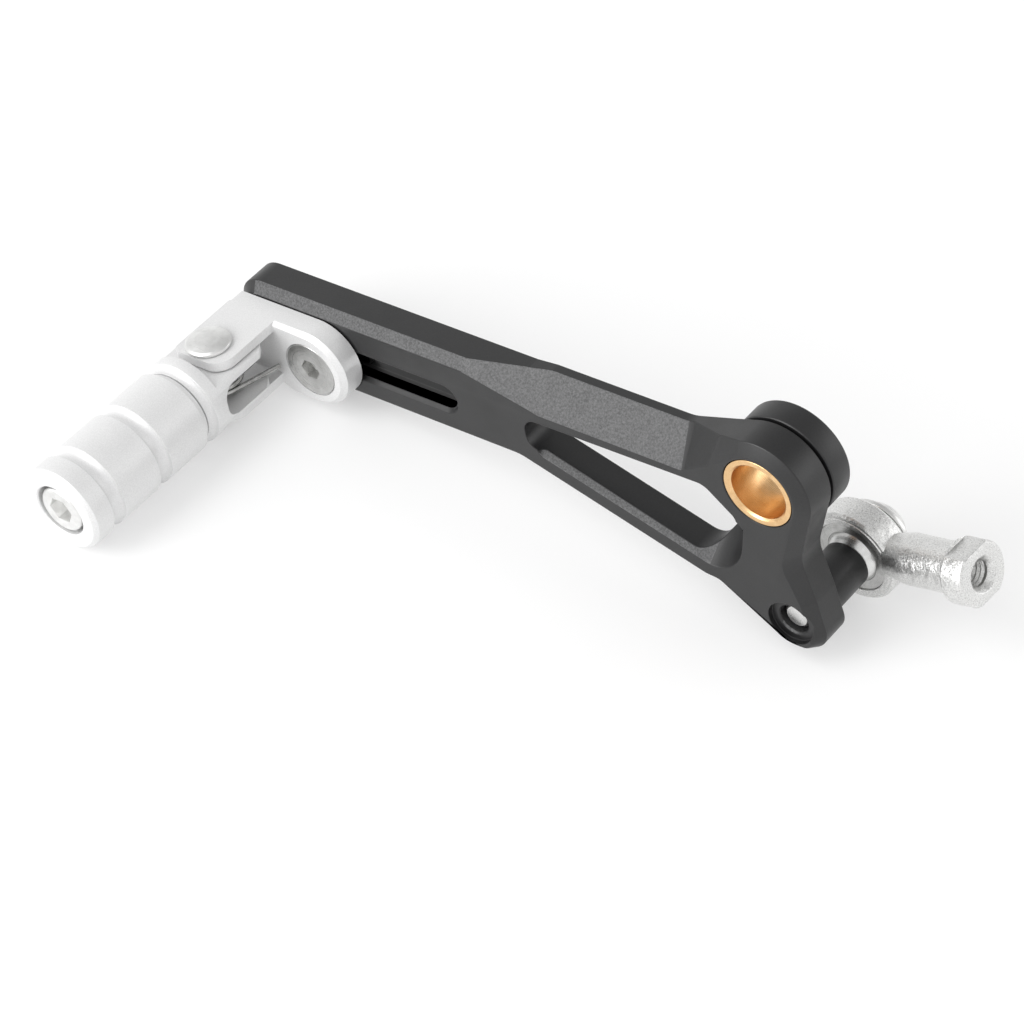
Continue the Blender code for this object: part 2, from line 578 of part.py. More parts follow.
def main():
    clear_scene()
    black = make_material("black_anodised", (0.018, 0.018, 0.019), 0.42, 0.55)
    silver = make_material("silver_anodised", (0.78, 0.78, 0.78), 0.38, 0.9)
    bronze = make_material("bronze", (0.72, 0.42, 0.16), 0.28, 1.0)
    steel = make_material("polished_steel", (0.62, 0.61, 0.59), 0.22, 1.0)
    dark_steel = make_material("blackened_steel", (0.09, 0.09, 0.09), 0.4, 0.8)
    zinc = make_material("zinc_plate", (0.66, 0.66, 0.65), 0.33, 1.0)
    liner = make_material("bearing_liner", (0.35, 0.22, 0.1), 0.5, 0.6)
    rubber = make_material("rubber", (0.02, 0.02, 0.02), 0.7, 0.0)

    root = make_empty("lever_stand", rotation=(0, -math.radians(LEAN), 0))
    make_arm(root, black)
    make_pivot(root, bronze, black, rubber)

    slide = make_empty("bracket_slide", root, (BOLT_X, 0, 0))
    make_bracket(slide, silver)
    make_bracket_fixings(slide, steel, dark_steel)

    hinge = make_empty("peg_hinge", slide, (PIN_X - BOLT_X, PIN_Y, PEG_Z))
    make_pin(hinge, steel, dark_steel)
    make_spring(hinge, steel)
    make_peg(hinge, silver, steel)

    link = make_empty("link_axis", root, (LINK_X, 0, LINK_Z))
    make_link_fixings(link, steel, black)
    ball = make_empty("rod_end_swing", link, (0, BALL_CENTRE, 0))
    rod = make_empty("rod_end_tilt", ball,
                     rotation=(0, -math.radians(ROD_RAISE), -math.radians(ROD_TILT)))
    make_rod_end(rod, zinc, steel, liner)
    stand_on_floor(root)


main()
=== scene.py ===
import bmesh
import bpy
import json
import math
from mathutils import Matrix, Vector


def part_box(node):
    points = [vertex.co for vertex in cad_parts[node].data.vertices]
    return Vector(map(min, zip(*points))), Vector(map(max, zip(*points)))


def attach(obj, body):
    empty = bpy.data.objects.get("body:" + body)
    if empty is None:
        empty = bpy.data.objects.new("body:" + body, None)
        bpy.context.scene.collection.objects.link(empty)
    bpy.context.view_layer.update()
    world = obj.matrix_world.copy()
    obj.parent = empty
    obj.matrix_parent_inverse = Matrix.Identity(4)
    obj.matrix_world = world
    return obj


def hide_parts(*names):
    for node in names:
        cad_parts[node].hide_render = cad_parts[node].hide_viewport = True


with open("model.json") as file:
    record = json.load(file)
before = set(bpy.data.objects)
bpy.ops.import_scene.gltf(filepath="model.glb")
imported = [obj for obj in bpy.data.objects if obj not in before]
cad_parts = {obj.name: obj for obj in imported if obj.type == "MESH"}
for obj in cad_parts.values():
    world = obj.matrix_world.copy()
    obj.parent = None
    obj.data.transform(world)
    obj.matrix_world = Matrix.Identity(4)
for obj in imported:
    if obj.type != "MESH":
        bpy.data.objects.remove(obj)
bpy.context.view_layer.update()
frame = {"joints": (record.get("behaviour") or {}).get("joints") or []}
print("frame loaded")

mm = 0.001                                    # sizes below are in millimetres
bushInset = 0.1                               # how far the bush sits behind the arm's front face
mergeGap = 0.0008                             # points closer than this are one point

# the lever's own axes: X from toe to pivot, Y through the arm, Z up
joints = {joint["name"]: joint for joint in frame["joints"]}
slideAxis = joints["bracket_adjust"]["axis"]
lean = math.atan2(slideAxis[2], slideAxis[0])
bushLow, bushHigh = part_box("pivot_bush")
pivotSpot = Vector(((bushLow.x + bushHigh.x) / 2, bushLow.y - bushInset * mm, (bushLow.z + bushHigh.z) / 2))
leverPlace = Matrix.Translation(pivotSpot) @ Matrix.Rotation(-lean, 4, "Y") @ Matrix.Scale(mm, 4)
toLever = leverPlace.inverted()

pinSpot = toLever @ Vector(joints["peg_fold"]["pos_m"])
pegPlace = leverPlace @ Matrix.Translation(pinSpot)
ballSpot = toLever @ Vector(joints["rod_swing"]["pos_m"])
rodRise = math.radians(13.5)                  # how the rod end lies at rest
rodTilt = math.radians(3.0)
rodPlace = (leverPlace @ Matrix.Translation(ballSpot) @ Matrix.Rotation(-rodTilt, 4, "Z")
            @ Matrix.Rotation(-rodRise, 4, "Y"))
linkPlace = leverPlace @ Matrix.Translation((ballSpot.x, 0, ballSpot.z))
boltX = -105.2                                # where the bracket's bolt stands in the slot
slotZ = -6.1                                  # the slot's middle line
boltPlace = leverPlace @ Matrix.Translation((boltX, 0, slotZ))


def roundCorner(before, corner, after, steps):
    # the arc that rounds an (x, z, radius) corner; in a straight run it is a short row of points
    x, z, radius = corner
    here = Vector((x, z))
    if not radius:
        return [here]
    before = (Vector(before) - here).normalized()
    after = (Vector(after) - here).normalized()
    half = before.angle(after) / 2
    if half > math.radians(89.5):
        run = 0.6                             # length of the row of points
        return [here + after * (run * step / steps - run / 2) for step in range(steps + 1)]
    centre = here + (before + after).normalized() * (radius / math.sin(half))
    start = here + before * (radius / math.tan(half)) - centre
    sweep = math.pi - 2 * half
    if before.x * after.y - before.y * after.x < 0:
        sweep = -sweep
    return [centre + Matrix.Rotation(-sweep * step / steps, 2) @ start for step in range(steps + 1)]


def roundOutline(corners, steps=12):
    points = []
    for i, corner in enumerate(corners):
        points += roundCorner(corners[i - 1][:2], corner, corners[(i + 1) % len(corners)][:2], steps)
    return points


def prism(outline, front, back):
    bm = bmesh.new()
    face = bm.faces.new([bm.verts.new((x, front, z)) for x, z in outline])
    grown = bmesh.ops.extrude_face_region(bm, geom=[face])
    moved = [v for v in grown["geom"] if isinstance(v, bmesh.types.BMVert)]
    bmesh.ops.translate(bm, vec=(0, back - front, 0), verts=moved)
    bmesh.ops.recalc_face_normals(bm, faces=bm.faces)
    return bm


def inPlan(bm):
    # lays an (x, z) prism down, so that its outline is in plan
    swap = Matrix(((1, 0, 0, 0), (0, 0, 1, 0), (0, 1, 0, 0), (0, 0, 0, 1)))
    bmesh.ops.transform(bm, matrix=swap, verts=bm.verts)
    bmesh.ops.recalc_face_normals(bm, faces=bm.faces)
    return bm


def block(low, high):
    bm = bmesh.new()
    bmesh.ops.create_cube(bm, size=1.0)
    bmesh.ops.scale(bm, vec=Vector(high) - Vector(low), verts=bm.verts)
    bmesh.ops.translate(bm, vec=(Vector(high) + Vector(low)) / 2, verts=bm.verts)
    return bm


def turned(profile, steps=96, axis="Y"):
    # spins a closed (radius, along) outline
    bm = bmesh.new()
    verts = [bm.verts.new((radius, 0, along)) for radius, along in profile]
    edges = [bm.edges.new(pair) for pair in zip(verts, verts[1:] + verts[:1])]
    bmesh.ops.spin(bm, geom=verts + edges, cent=(0, 0, 0), axis=(0, 0, 1), angle=2 * math.pi,
                   steps=steps, use_merge=True)
    bmesh.ops.remove_doubles(bm, verts=bm.verts, dist=mergeGap)
    bmesh.ops.dissolve_degenerate(bm, dist=mergeGap / 2, edges=bm.edges)
    if axis == "Y":
        bmesh.ops.transform(bm, matrix=Matrix.Rotation(-math.pi / 2, 4, "X"), verts=bm.verts)
    if axis == "X":
        bmesh.ops.transform(bm, matrix=Matrix.Rotation(math.pi / 2, 4, "Y"), verts=bm.verts)
    bmesh.ops.recalc_face_normals(bm, faces=bm.faces)
    return bm


def softProfile(corners, steps=4):
    # a turned outline whose (radius, along, round) corners are eased
    return [(max(point.x, 0.0), point.y) for point in roundOutline(corners, steps)]


def hexBar(acrossFlats, start, end):
    reach = acrossFlats / math.sqrt(3)
    corners = [(reach * math.cos(math.pi / 3 * i), reach * math.sin(math.pi / 3 * i)) for i in range(6)]
    return prism(corners, start, end)


def asObject(bm, name="tool"):
    mesh = bpy.data.meshes.new(name)
    bm.to_mesh(mesh)
    bm.free()
    item = bpy.data.objects.new(name, mesh)
    bpy.context.scene.collection.objects.link(item)
    return item


def bake(item):
    # applies the modifiers
    bpy.context.view_layer.update()
    graph = bpy.context.evaluated_depsgraph_get()
    mesh = bpy.data.meshes.new_from_object(item.evaluated_get(graph))
    item.modifiers.clear()
    old = item.data
    item.data = mesh
    bpy.data.meshes.remove(old)
    return item


def carve(item, bm, operation="DIFFERENCE"):
    tool = asObject(bm)
    change = item.modifiers.new("carve", "BOOLEAN")
    change.operation = operation
    change.solver = "EXACT"
    change.object = tool
    bake(item)
    bpy.data.objects.remove(tool, do_unlink=True)
    return item


def easeEdges(item, width, angle=30, segments=2, clamp=False):
    ease = item.modifiers.new("ease", "BEVEL")
    ease.width = width
    ease.segments = segments
    ease.limit_method = "ANGLE"
    ease.angle_limit = math.radians(angle)
    ease.use_clamp_overlap = clamp
    ease.miter_outer = "MITER_ARC"
    return bake(item)


def shade(item, angle=35):
    item.data.shade_smooth()
    item.data.set_sharp_from_angle(angle=math.radians(angle))
    return item


def place(item, name, matrix, body, material, node, angle=35):
    # puts a piece made in millimetres where it belongs, and hands it to its body
    item.name = name
    item.data.name = name
    item.data.transform(matrix)
    item.data.materials.clear()
    item.data.materials.append(material)
    shade(item, angle)
    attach(item, body)
    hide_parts(node)
    return item


def newSurface(name):
    material = bpy.data.materials.new(name)
    material.use_nodes = True
    nodes = material.node_tree.nodes
    return material, nodes, material.node_tree.links, nodes["Principled BSDF"]


def objectPoint(nodes, links, matrix=None, scale=(1, 1, 1)):
    # Object coordinates, turned into the piece's own axes in millimetres when a matrix is given
    coords = nodes.new("ShaderNodeTexCoord")
    mapping = nodes.new("ShaderNodeMapping")
    links.new(coords.outputs["Object"], mapping.inputs["Vector"])
    if matrix:
        spot, turn, size = matrix.inverted().decompose()
        mapping.inputs["Location"].default_value = spot
        mapping.inputs["Rotation"].default_value = turn.to_euler()
        mapping.inputs["Scale"].default_value = size
    else:
        mapping.inputs["Scale"].default_value = (1000, 1000, 1000)
    stretch = nodes.new("ShaderNodeMapping")
    stretch.inputs["Scale"].default_value = scale
    links.new(mapping.outputs["Vector"], stretch.inputs["Vector"])
    return stretch.outputs["Vector"]


def noise(nodes, links, point, scale, detail=3.0, roughness=0.55):
    grain = nodes.new("ShaderNodeTexNoise")
    grain.inputs["Scale"].default_value = scale
    grain.inputs["Detail"].default_value = detail
    grain.inputs["Roughness"].default_value = roughness
    links.new(point, grain.inputs["Vector"])
    return grain.outputs["Fac"]


def spread(nodes, links, value, low, high, start=0.3, end=0.7):
    ramp = nodes.new("ShaderNodeMapRange")
    ramp.inputs["From Min"].default_value = start
    ramp.inputs["From Max"].default_value = end
    ramp.inputs["To Min"].default_value = low
    ramp.inputs["To Max"].default_value = high
    links.new(value, ramp.inputs["Value"])
    return ramp.outputs["Result"]


def tone(nodes, links, value, dark, light, start=0.3, end=0.7):
    ramp = nodes.new("ShaderNodeValToRGB")
    ramp.color_ramp.elements[0].position = start
    ramp.color_ramp.elements[0].color = (*dark, 1)
    ramp.color_ramp.elements[1].position = end
    ramp.color_ramp.elements[1].color = (*light, 1)
    links.new(value, ramp.inputs["Fac"])
    return ramp.outputs["Color"]


def bumps(nodes, links, shader, value, depth, before=None):
    bump = nodes.new("ShaderNodeBump")
    bump.inputs["Distance"].default_value = depth
    bump.inputs["Strength"].default_value = 1.0
    links.new(value, bump.inputs["Height"])
    if before:
        links.new(before, bump.inputs["Normal"])
    links.new(bump.outputs["Normal"], shader.inputs["Normal"])
    return bump.outputs["Normal"]


blackFinish = {
    "dark": (0.0060, 0.0060, 0.0064),
    "light": (0.0125, 0.0125, 0.013),
    "roughLow": 0.34,
    "roughHigh": 0.46,
    "grainScale": 3.2,
    "broadScale": 0.12,
    "grainDepth": 0.012 * mm,
    "gloss": 0.55,
}


def blackAnodised(matrix):
    made, nodes, links, shader = newSurface("blackAnodised")
    point = objectPoint(nodes, links, matrix)
    fine = noise(nodes, links, point, blackFinish["grainScale"], 4.0, 0.65)
    broad = noise(nodes, links, point, blackFinish["broadScale"], 2.0)
    links.new(tone(nodes, links, fine, blackFinish["dark"], blackFinish["light"]),
              shader.inputs["Base Color"])
    links.new(spread(nodes, links, broad, blackFinish["roughLow"], blackFinish["roughHigh"]),
              shader.inputs["Roughness"])
    bumps(nodes, links, shader, fine, blackFinish["grainDepth"])
    shader.inputs["Metallic"].default_value = 0.0
    shader.inputs["Specular IOR Level"].default_value = blackFinish["gloss"]
    return made


# milled grain on a lighter base, which partly paints in the light the up-facing facets catch
milledAndLitFinish = {
    "dark": (0.030, 0.030, 0.031),
    "light": (0.108, 0.108, 0.110),
    "roughLow": 0.50,
    "roughHigh": 0.56,
    "grainScale": 2.4,
    "broadScale": 0.25,
    "grainDepth": 0.05 * mm,
    "gloss": 0.6,
}


def milledBlackPaintedLight(matrix):
    # lighter, sparkling grain of the milled facets; the lighter base is partly painted light, standing in for
    # the light these up-facing facets catch
    made, nodes, links, shader = newSurface("milledBlackPaintedLight")
    point = objectPoint(nodes, links, matrix)
    fine = noise(nodes, links, point, milledAndLitFinish["grainScale"], 3.0, 0.75)
    broad = noise(nodes, links, point, milledAndLitFinish["broadScale"], 2.0)
    links.new(tone(nodes, links, fine, milledAndLitFinish["dark"], milledAndLitFinish["light"], 0.35, 0.68),
              shader.inputs["Base Color"])
    links.new(spread(nodes, links, broad, milledAndLitFinish["roughLow"], milledAndLitFinish["roughHigh"]),
              shader.inputs["Roughness"])
    bumps(nodes, links, shader, fine, milledAndLitFinish["grainDepth"])
    shader.inputs["Specular IOR Level"].default_value = milledAndLitFinish["gloss"]
    return made


silverFinish = {
    "dark": (0.70, 0.70, 0.70),
    "light": (0.80, 0.80, 0.80),
    "roughLow": 0.42,
    "roughHigh": 0.54,
    "grainScale": 4.0,
    "broadScale": 0.15,
    "grainDepth": 0.008 * mm,
    "ringDepth": 0.004 * mm,
    "metallic": 0.35,
}


def silverSatin(name, matrix, lathe=None):
    made, nodes, links, shader = newSurface(name)
    point = objectPoint(nodes, links, matrix)
    fine = noise(nodes, links, point, silverFinish["grainScale"], 3.0, 0.6)
    broad = noise(nodes, links, point, silverFinish["broadScale"], 2.0)
    links.new(tone(nodes, links, fine, silverFinish["dark"], silverFinish["light"]),
              shader.inputs["Base Color"])
    links.new(spread(nodes, links, broad, silverFinish["roughLow"], silverFinish["roughHigh"]),
              shader.inputs["Roughness"])
    normal = bumps(nodes, links, shader, fine, silverFinish["grainDepth"])
    if lathe:                                   # faint turning marks across the axis
        streaks = noise(nodes, links, objectPoint(nodes, links, matrix, lathe), 1.0, 2.0)
        bumps(nodes, links, shader, streaks, silverFinish["ringDepth"], normal)
    shader.inputs["Metallic"].default_value = silverFinish["metallic"]
    return made


# dark and light colour, roughness, rings per millimetre, depth of the rings
metalFinish = {
    "bushBronze": ((0.74, 0.47, 0.23), (0.88, 0.60, 0.32), 0.30, 9.0, 0.004 * mm),
    "polishedSteel": ((0.66, 0.66, 0.65), (0.80, 0.80, 0.79), 0.30, 8.0, 0.004 * mm),
    "boltSteel": ((0.52, 0.52, 0.51), (0.66, 0.66, 0.65), 0.32, 7.0, 0.012 * mm),
    "pegSteel": ((0.74, 0.74, 0.73), (0.88, 0.88, 0.87), 0.36, 8.0, 0.01 * mm),
    "springSteel": ((0.34, 0.34, 0.33), (0.5, 0.5, 0.49), 0.22, 8.0, 0.004 * mm),
    "blackenedSteel": ((0.05, 0.05, 0.05), (0.09, 0.09, 0.09), 0.4, 6.0, 0.004 * mm),
    "raceSteel": ((0.5, 0.5, 0.49), (0.68, 0.68, 0.67), 0.3, 6.0, 0.004 * mm),
}


def turnedMetal(name, matrix):
    # machined metal with fine rings round the piece's Y axis
    dark, light, roughness, lines, depth = metalFinish[name]
    made, nodes, links, shader = newSurface(name)
    point = objectPoint(nodes, links, matrix)
    split = nodes.new("ShaderNodeSeparateXYZ")
    links.new(point, split.inputs["Vector"])
    square = []
    for part in ("X", "Z"):
        power = nodes.new("ShaderNodeMath")
        power.operation = "MULTIPLY"
        links.new(split.outputs[part], power.inputs[0])
        links.new(split.outputs[part], power.inputs[1])
        square.append(power.outputs[0])
    total = nodes.new("ShaderNodeMath")
    total.operation = "ADD"
    links.new(square[0], total.inputs[0])
    links.new(square[1], total.inputs[1])
    root = nodes.new("ShaderNodeMath")
    root.operation = "SQRT"
    links.new(total.outputs[0], root.inputs[0])
    ringPoint = nodes.new("ShaderNodeCombineXYZ")
    links.new(root.outputs[0], ringPoint.inputs["X"])
    links.new(split.outputs["Y"], ringPoint.inputs["Y"])
    rings = noise(nodes, links, ringPoint.outputs["Vector"], lines, 2.0, 0.5)
    stain = noise(nodes, links, point, 0.5, 3.0)
    links.new(tone(nodes, links, stain, dark, light), shader.inputs["Base Color"])
    links.new(spread(nodes, links, rings, roughness * 0.75, roughness * 1.25), shader.inputs["Roughness"])
    bumps(nodes, links, shader, rings, depth)
    shader.inputs["Metallic"].default_value = 1.0
    return made


zincFinish = {
    "dark": (0.50, 0.50, 0.49),
    "light": (0.96, 0.96, 0.95),
    "roughLow": 0.24,
    "roughHigh": 0.44,
    "lumpScale": 0.55,
    "lumpDepth": 0.22 * mm,
    "grainScale": 3.5,
    "grainDepth": 0.06 * mm,
}


def zincForged(matrix):
    # forged lumps under a sparkling plated grain
    made, nodes, links, shader = newSurface("zincForged")
    point = objectPoint(nodes, links, matrix)
    lumps = noise(nodes, links, point, zincFinish["lumpScale"], 2.0)
    grain = noise(nodes, links, point, zincFinish["grainScale"], 4.0, 0.7)
    links.new(tone(nodes, links, grain, zincFinish["dark"], zincFinish["light"]),
              shader.inputs["Base Color"])
    links.new(spread(nodes, links, grain, zincFinish["roughLow"], zincFinish["roughHigh"]),
              shader.inputs["Roughness"])
    first = bumps(nodes, links, shader, lumps, zincFinish["lumpDepth"])
    bumps(nodes, links, shader, grain, zincFinish["grainDepth"], first)
    shader.inputs["Metallic"].default_value = 1.0
    return made


rubberFinish = {
    "dark": (0.010, 0.010, 0.010),
    "light": (0.022, 0.022, 0.022),
    "roughLow": 0.55,
    "roughHigh": 0.75,
    "grainScale": 2.0,
    "grainDepth": 0.01 * mm,
}


def sealRubber():
    made, nodes, links, shader = newSurface("sealRubber")
    point = objectPoint(nodes, links)
    fine = noise(nodes, links, point, rubberFinish["grainScale"], 3.0)
    links.new(tone(nodes, links, fine, rubberFinish["dark"], rubberFinish["light"]),
              shader.inputs["Base Color"])
    links.new(spread(nodes, links, fine, rubberFinish["roughLow"], rubberFinish["roughHigh"]),
              shader.inputs["Roughness"])
    bumps(nodes, links, shader, fine, rubberFinish["grainDepth"])
    return made


armShape = {
    "thickness": 8.0,
    "backChamfer": 0.6,
    "hub": 11.0,
    "hubFace": 8.25,
    "hubSteps": 40,
    "bore": 7.6,
    "boreChamfer": 0.35,
    "linkHole": 3.1,
    "spotFace": 4.9,
    "spotDepth": 1.2,
    # x, z and radius of each corner
    "window": [(-55.4, -3.6, 3.1), (-12.6, -3.0, 4.0), (-5.4, -9.3, 2.0), (-15.2, -22.4, 4.5),
               (-55.4, -10.1, 3.1)],
    "opening": [(-55.4, -3.6, 3.1), (-12.6, -3.0, 4.0), (-4.0, -11.5, 2.6), (-7.5, -27.0, 0.5),
                (-55.4, -27.0, 0.5)],
    "pocketSpot": (-13.4, 0.0, -23.9),        # where the sloping facet ends on the front face
    "pocketAlong": (0.957, 0.0, -0.29),
    "pocketInward": (0.0, 0.793, 0.61),
    "pocketSweep": [(-42.0, 0.0, 2.0), (6.3, 0.0, 8.0), (6.3, 17.0, 0.5), (-42.0, 17.0, 0.5)],
    "pocketSides": (-3, 18),
    "pocketTop": -8.5,
    "facetEnd": -16.2,                        # the big facet stops here, short of the hub
    # facets facing this far forwards and up get the milled colour, whose lighter base paints in light
    "slopeY": (-0.9, -0.45),                  # how far a milled facet faces forwards
    "slopeZ": 0.4,
    "runOut": 0.12,
    "slotEnds": (-120.0, -72.4),
    "slotHeight": 6.2,
    "slotChamfer": 0.7,
    "channelHeight": 10.1,
    "channelDepth": 3.9,
    "channelRound": 3.0,
    "edge": 0.16,
}


def hubArc(radius, start, end):
    # stations on the hub's circle, clockwise
    count = armShape["hubSteps"]
    angles = [math.radians(start + (end - start) * i / count) for i in range(count + 1)]
    return [Vector((radius * math.cos(a), radius * math.sin(a))) for a in angles]


def armStations():
    # steps, outline corner, front face corner (x, z, radius), depth of the band between them
    return [
        (14, (-128.0, 5.1, 6.0), (-125.6, 2.7, 3.6), 1.75),
        (2, (-69.0, 5.1, 2.0), (-69.4, 2.7, 1.0), 1.75),
        (2, (-56.0, 5.1, 2.0), (-55.4, -0.4, 2.0), 5.2),
        (2, (-51.0, 5.6, 2.0), (-51.2, -1.4, 1.0), 6.0),
        (8, (-18.6, 5.6, 9.0), (-17.3, -1.4, 2.6), 6.0),
        (2, (-8.6, 8.75, 2.0), (-10.6, 2.4, 8.0), 2.6),
        (0, (107, -18), (116, -18), 1.3),
        (12, (6.6, -15.3, 8.0), (3.2, -16.8, 6.0), 1.8),
        (2, (9.0, -25.0, 4.0), (6.6, -25.6, 4.0), 1.9),
        (16, (11.2, -37.2, 4.6), (7.9, -36.4, 2.0), 1.8),
        (10, (1.8, -37.2, 7.0), (2.0, -36.4, 6.4), 0.8),
        (6, (-12.6, -27.4, 4.0), (-12.4, -26.6, 4.0), 0.8),
        (4, (-15.6, -27.3, 4.0), (-15.4, -26.4, 4.0), 0.8),
        (6, (-58.0, -14.4, 10.0), (-58.0, -13.6, 10.0), 0.8),
        (16, (-128.0, -14.4, 9.6), (-126.4, -13.6, 8.4), 0.8),
    ]


def armLoop(side):
    # the outline (side 1) or the front face's edge (side 2), station by station
    stations = armStations()
    radius = armShape["hub"] if side == 1 else armShape["hubFace"]
    arcs = [hubArc(radius, *s[side]) if s[0] == 0 else None for s in stations]
    points = []
    for i, station in enumerate(stations):
        if arcs[i]:
            points += arcs[i]
            continue
        following = (i + 1) % len(stations)
        before = arcs[i - 1][-1] if arcs[i - 1] else stations[i - 1][side][:2]
        after = arcs[following][0] if arcs[following] else stations[following][side][:2]
        points += roundCorner(before, station[side], after, station[0])
    return points


def armBlank():
    outline = armLoop(1)
    front = armLoop(2)
    depths = []
    for station in armStations():
        depths += [station[3]] * ((station[0] or armShape["hubSteps"]) + 1)
    thick = armShape["thickness"]
    bm = bmesh.new()
    frontLoop = [bm.verts.new((p.x, 0, p.y)) for p in front]
    bandLoop = [bm.verts.new((p.x, depth, p.y)) for p, depth in zip(outline, depths)]
    backLoop = [bm.verts.new((p.x, thick, p.y)) for p in outline]
    loops = []
    for loop in (frontLoop, bandLoop, backLoop):
        loops.append([bm.edges.new(pair) for pair in zip(loop, loop[1:] + loop[:1])])
    for a, b in zip(loops, loops[1:]):
        bmesh.ops.bridge_loops(bm, edges=a + b)
    bm.faces.new(frontLoop)
    back = bm.faces.new(list(reversed(backLoop)))
    bmesh.ops.recalc_face_normals(bm, faces=bm.faces)
    chamfer = armShape["backChamfer"]
    bmesh.ops.inset_region(bm, faces=[back], thickness=chamfer, use_even_offset=True)
    bmesh.ops.translate(bm, vec=(0, -chamfer, 0), verts=[v for v in backLoop if v.is_valid])
    return bm


def slotOutline(left, right, height, radius):
    half = height / 2
    return roundOutline([(left, slotZ + half, radius), (right, slotZ + half, radius),
                         (right, slotZ - half, radius), (left, slotZ - half, radius)], 16)


def slotMouth(left, right, height):
    # the chamfer along the slot's lower front edge
    wide = armShape["slotChamfer"]
    bm = bmesh.new()
    loops = []
    for grow, y in ((wide + 1, -1), (0, wide)):
        radius = height / 2 + grow / 2 - 0.01
        outline = slotOutline(left - grow * 0.6, right + grow * 0.6, height + grow, radius)
        verts = [bm.verts.new((p.x, y, p.y - grow / 2 - 0.05)) for p in outline]
        bm.faces.new(verts)
        loops.append([bm.edges.get(pair) for pair in zip(verts, verts[1:] + verts[:1])])
    bmesh.ops.bridge_loops(bm, edges=loops[0] + loops[1])
    bmesh.ops.recalc_face_normals(bm, faces=bm.faces)
    return bm


def windowPocket():
    # the sloping facet under the window, which ends in a rounded wall at the right
    along = Vector(armShape["pocketAlong"]).normalized()
    inward = Vector(armShape["pocketInward"]).normalized()
    axes = Matrix((along, inward, along.cross(inward))).transposed().to_4x4()
    axes.translation = armShape["pocketSpot"]
    bm = prism(roundOutline(armShape["pocketSweep"]), *armShape["pocketSides"])
    bmesh.ops.transform(bm, matrix=axes, verts=bm.verts)
    opening = prism(roundOutline(armShape["opening"]), -2, armShape["thickness"] + 1.5)
    pocket = carve(asObject(bm), opening, "INTERSECT")
    bm = bmesh.new()
    bm.from_mesh(pocket.data)
    bpy.data.objects.remove(pocket, do_unlink=True)
    return bm


def millAndPaintLight(item, material):
    # the long facets are left as the cutter made them; faces that slope up and forwards get the lighter
    # milled material, which also paints in the light they catch
    item.data.materials.append(material)
    low, high = armShape["slopeY"]
    top = armShape["pocketTop"]
    runOut = armShape["runOut"]
    for face in item.data.polygons:
        spot = toLever @ face.center
        normal = (toLever.to_3x3() @ face.normal).normalized()
        slopingToLight = low < normal.y < high and normal.z > armShape["slopeZ"]
        pocket = spot.z < top and normal.x > runOut
        facet = spot.z > top and spot.x < armShape["facetEnd"] and normal.x > -runOut
        if slopingToLight and (pocket or facet):
            face.material_index = 1


def makeArm(finish, milledPaintedLight):
    thick = armShape["thickness"]
    item = asObject(armBlank(), "leverArm")
    carve(item, prism(roundOutline(armShape["window"]), -1, thick + 1))
    carve(item, windowPocket())
    left, right = armShape["slotEnds"]
    height = armShape["slotHeight"]
    carve(item, prism(slotOutline(left, right, height, height / 2 - 0.01), -1, thick + 1))
    carve(item, slotMouth(left, right, height))
    channel = slotOutline(left - 2, right + 6, armShape["channelHeight"], armShape["channelRound"])
    carve(item, prism(channel, thick - armShape["channelDepth"], thick + 1))
    bore = armShape["bore"]
    carve(item, turned(softProfile([(0, -1, 0), (bore + 0.5, -1, 0), (bore, armShape["boreChamfer"], 0),
                                    (bore, thick + 1, 0), (0, thick + 1, 0)])))
    wide = armShape["spotFace"]
    deep = armShape["spotDepth"]
    narrow = armShape["linkHole"]
    hole = turned([(0, -1), (wide, -1), (wide, deep), (narrow + 0.4, deep), (narrow, deep + 0.4),
                   (narrow, thick + 1), (0, thick + 1)])
    bmesh.ops.translate(hole, vec=(ballSpot.x, 0, ballSpot.z), verts=hole.verts)
    carve(item, hole)
    easeEdges(item, armShape["edge"], 24, 2)
    place(item, "leverArm", leverPlace, "lever", finish, "lever_arm", 10)
    millAndPaintLight(item, milledPaintedLight)
    print("arm made")


pivotShape = {
    "bore": 6.0,
    "bush": 7.5,
    "length": 14.2,
    "collarBore": 7.6,
    "collar": 11.2,
    "collarStart": 8.7,
    "sealBore": 7.65,
    "seal": 10.3,
    "sealStart": 8.1,
    "sealEnd": 8.6,
}


def makePivot(bronze, black, rubber):
    bore = pivotShape["bore"]
    outer = pivotShape["bush"]
    end = pivotShape["length"]
    bush = softProfile([(bore, 0.5, 0.15), (bore + 0.45, 0.1, 0.1), (outer, 0.1, 0.15), (outer, end, 0.2),
                        (bore + 0.5, end, 0.1), (bore, end - 0.5, 0.1)])
    place(asObject(turned(bush, 128)), "pivotBush", leverPlace, "lever", bronze, "pivot_bush")
    inner = pivotShape["collarBore"]
    outer = pivotShape["collar"]
    start = pivotShape["collarStart"]
    collar = softProfile([(inner, start, 0.1), (outer, start, 0.35), (outer, end, 0.5), (inner, end, 0.2)])
    place(asObject(turned(collar, 128)), "pivotCollar", leverPlace, "lever", black,
          "pivot_collar")
    inner = pivotShape["sealBore"]
    outer = pivotShape["seal"]
    start = pivotShape["sealStart"]
    end = pivotShape["sealEnd"]
    seal = softProfile([(inner, start, 0.05), (outer, start, 0.2), (outer, end, 0.2), (inner, end, 0.05)])
    place(asObject(turned(seal, 96)), "pivotSeal", leverPlace, "lever", rubber, "pivot_seal")
    print("pivot made")


bracketShape = {
    "front": -5.8,
    "back": -0.3,
    "end": 8.8,
    "chamfer": 1.1,
    "left": -21.0,
    "earRight": -8.2,
    "earReach": 4.6,                          # how far the ears go past the pin
    "earTop": 2.7,
    "ear": 2.1,
    "pinHole": 3.1,
    "seat": 6.25,
    "boltHole": 3.3,
    "dowelX": -8.2,
    "dowelHole": 2.6,
    "edge": 0.22,
}
pegZ = pinSpot.z
earBottom = 2 * pegZ - bracketShape["earTop"]


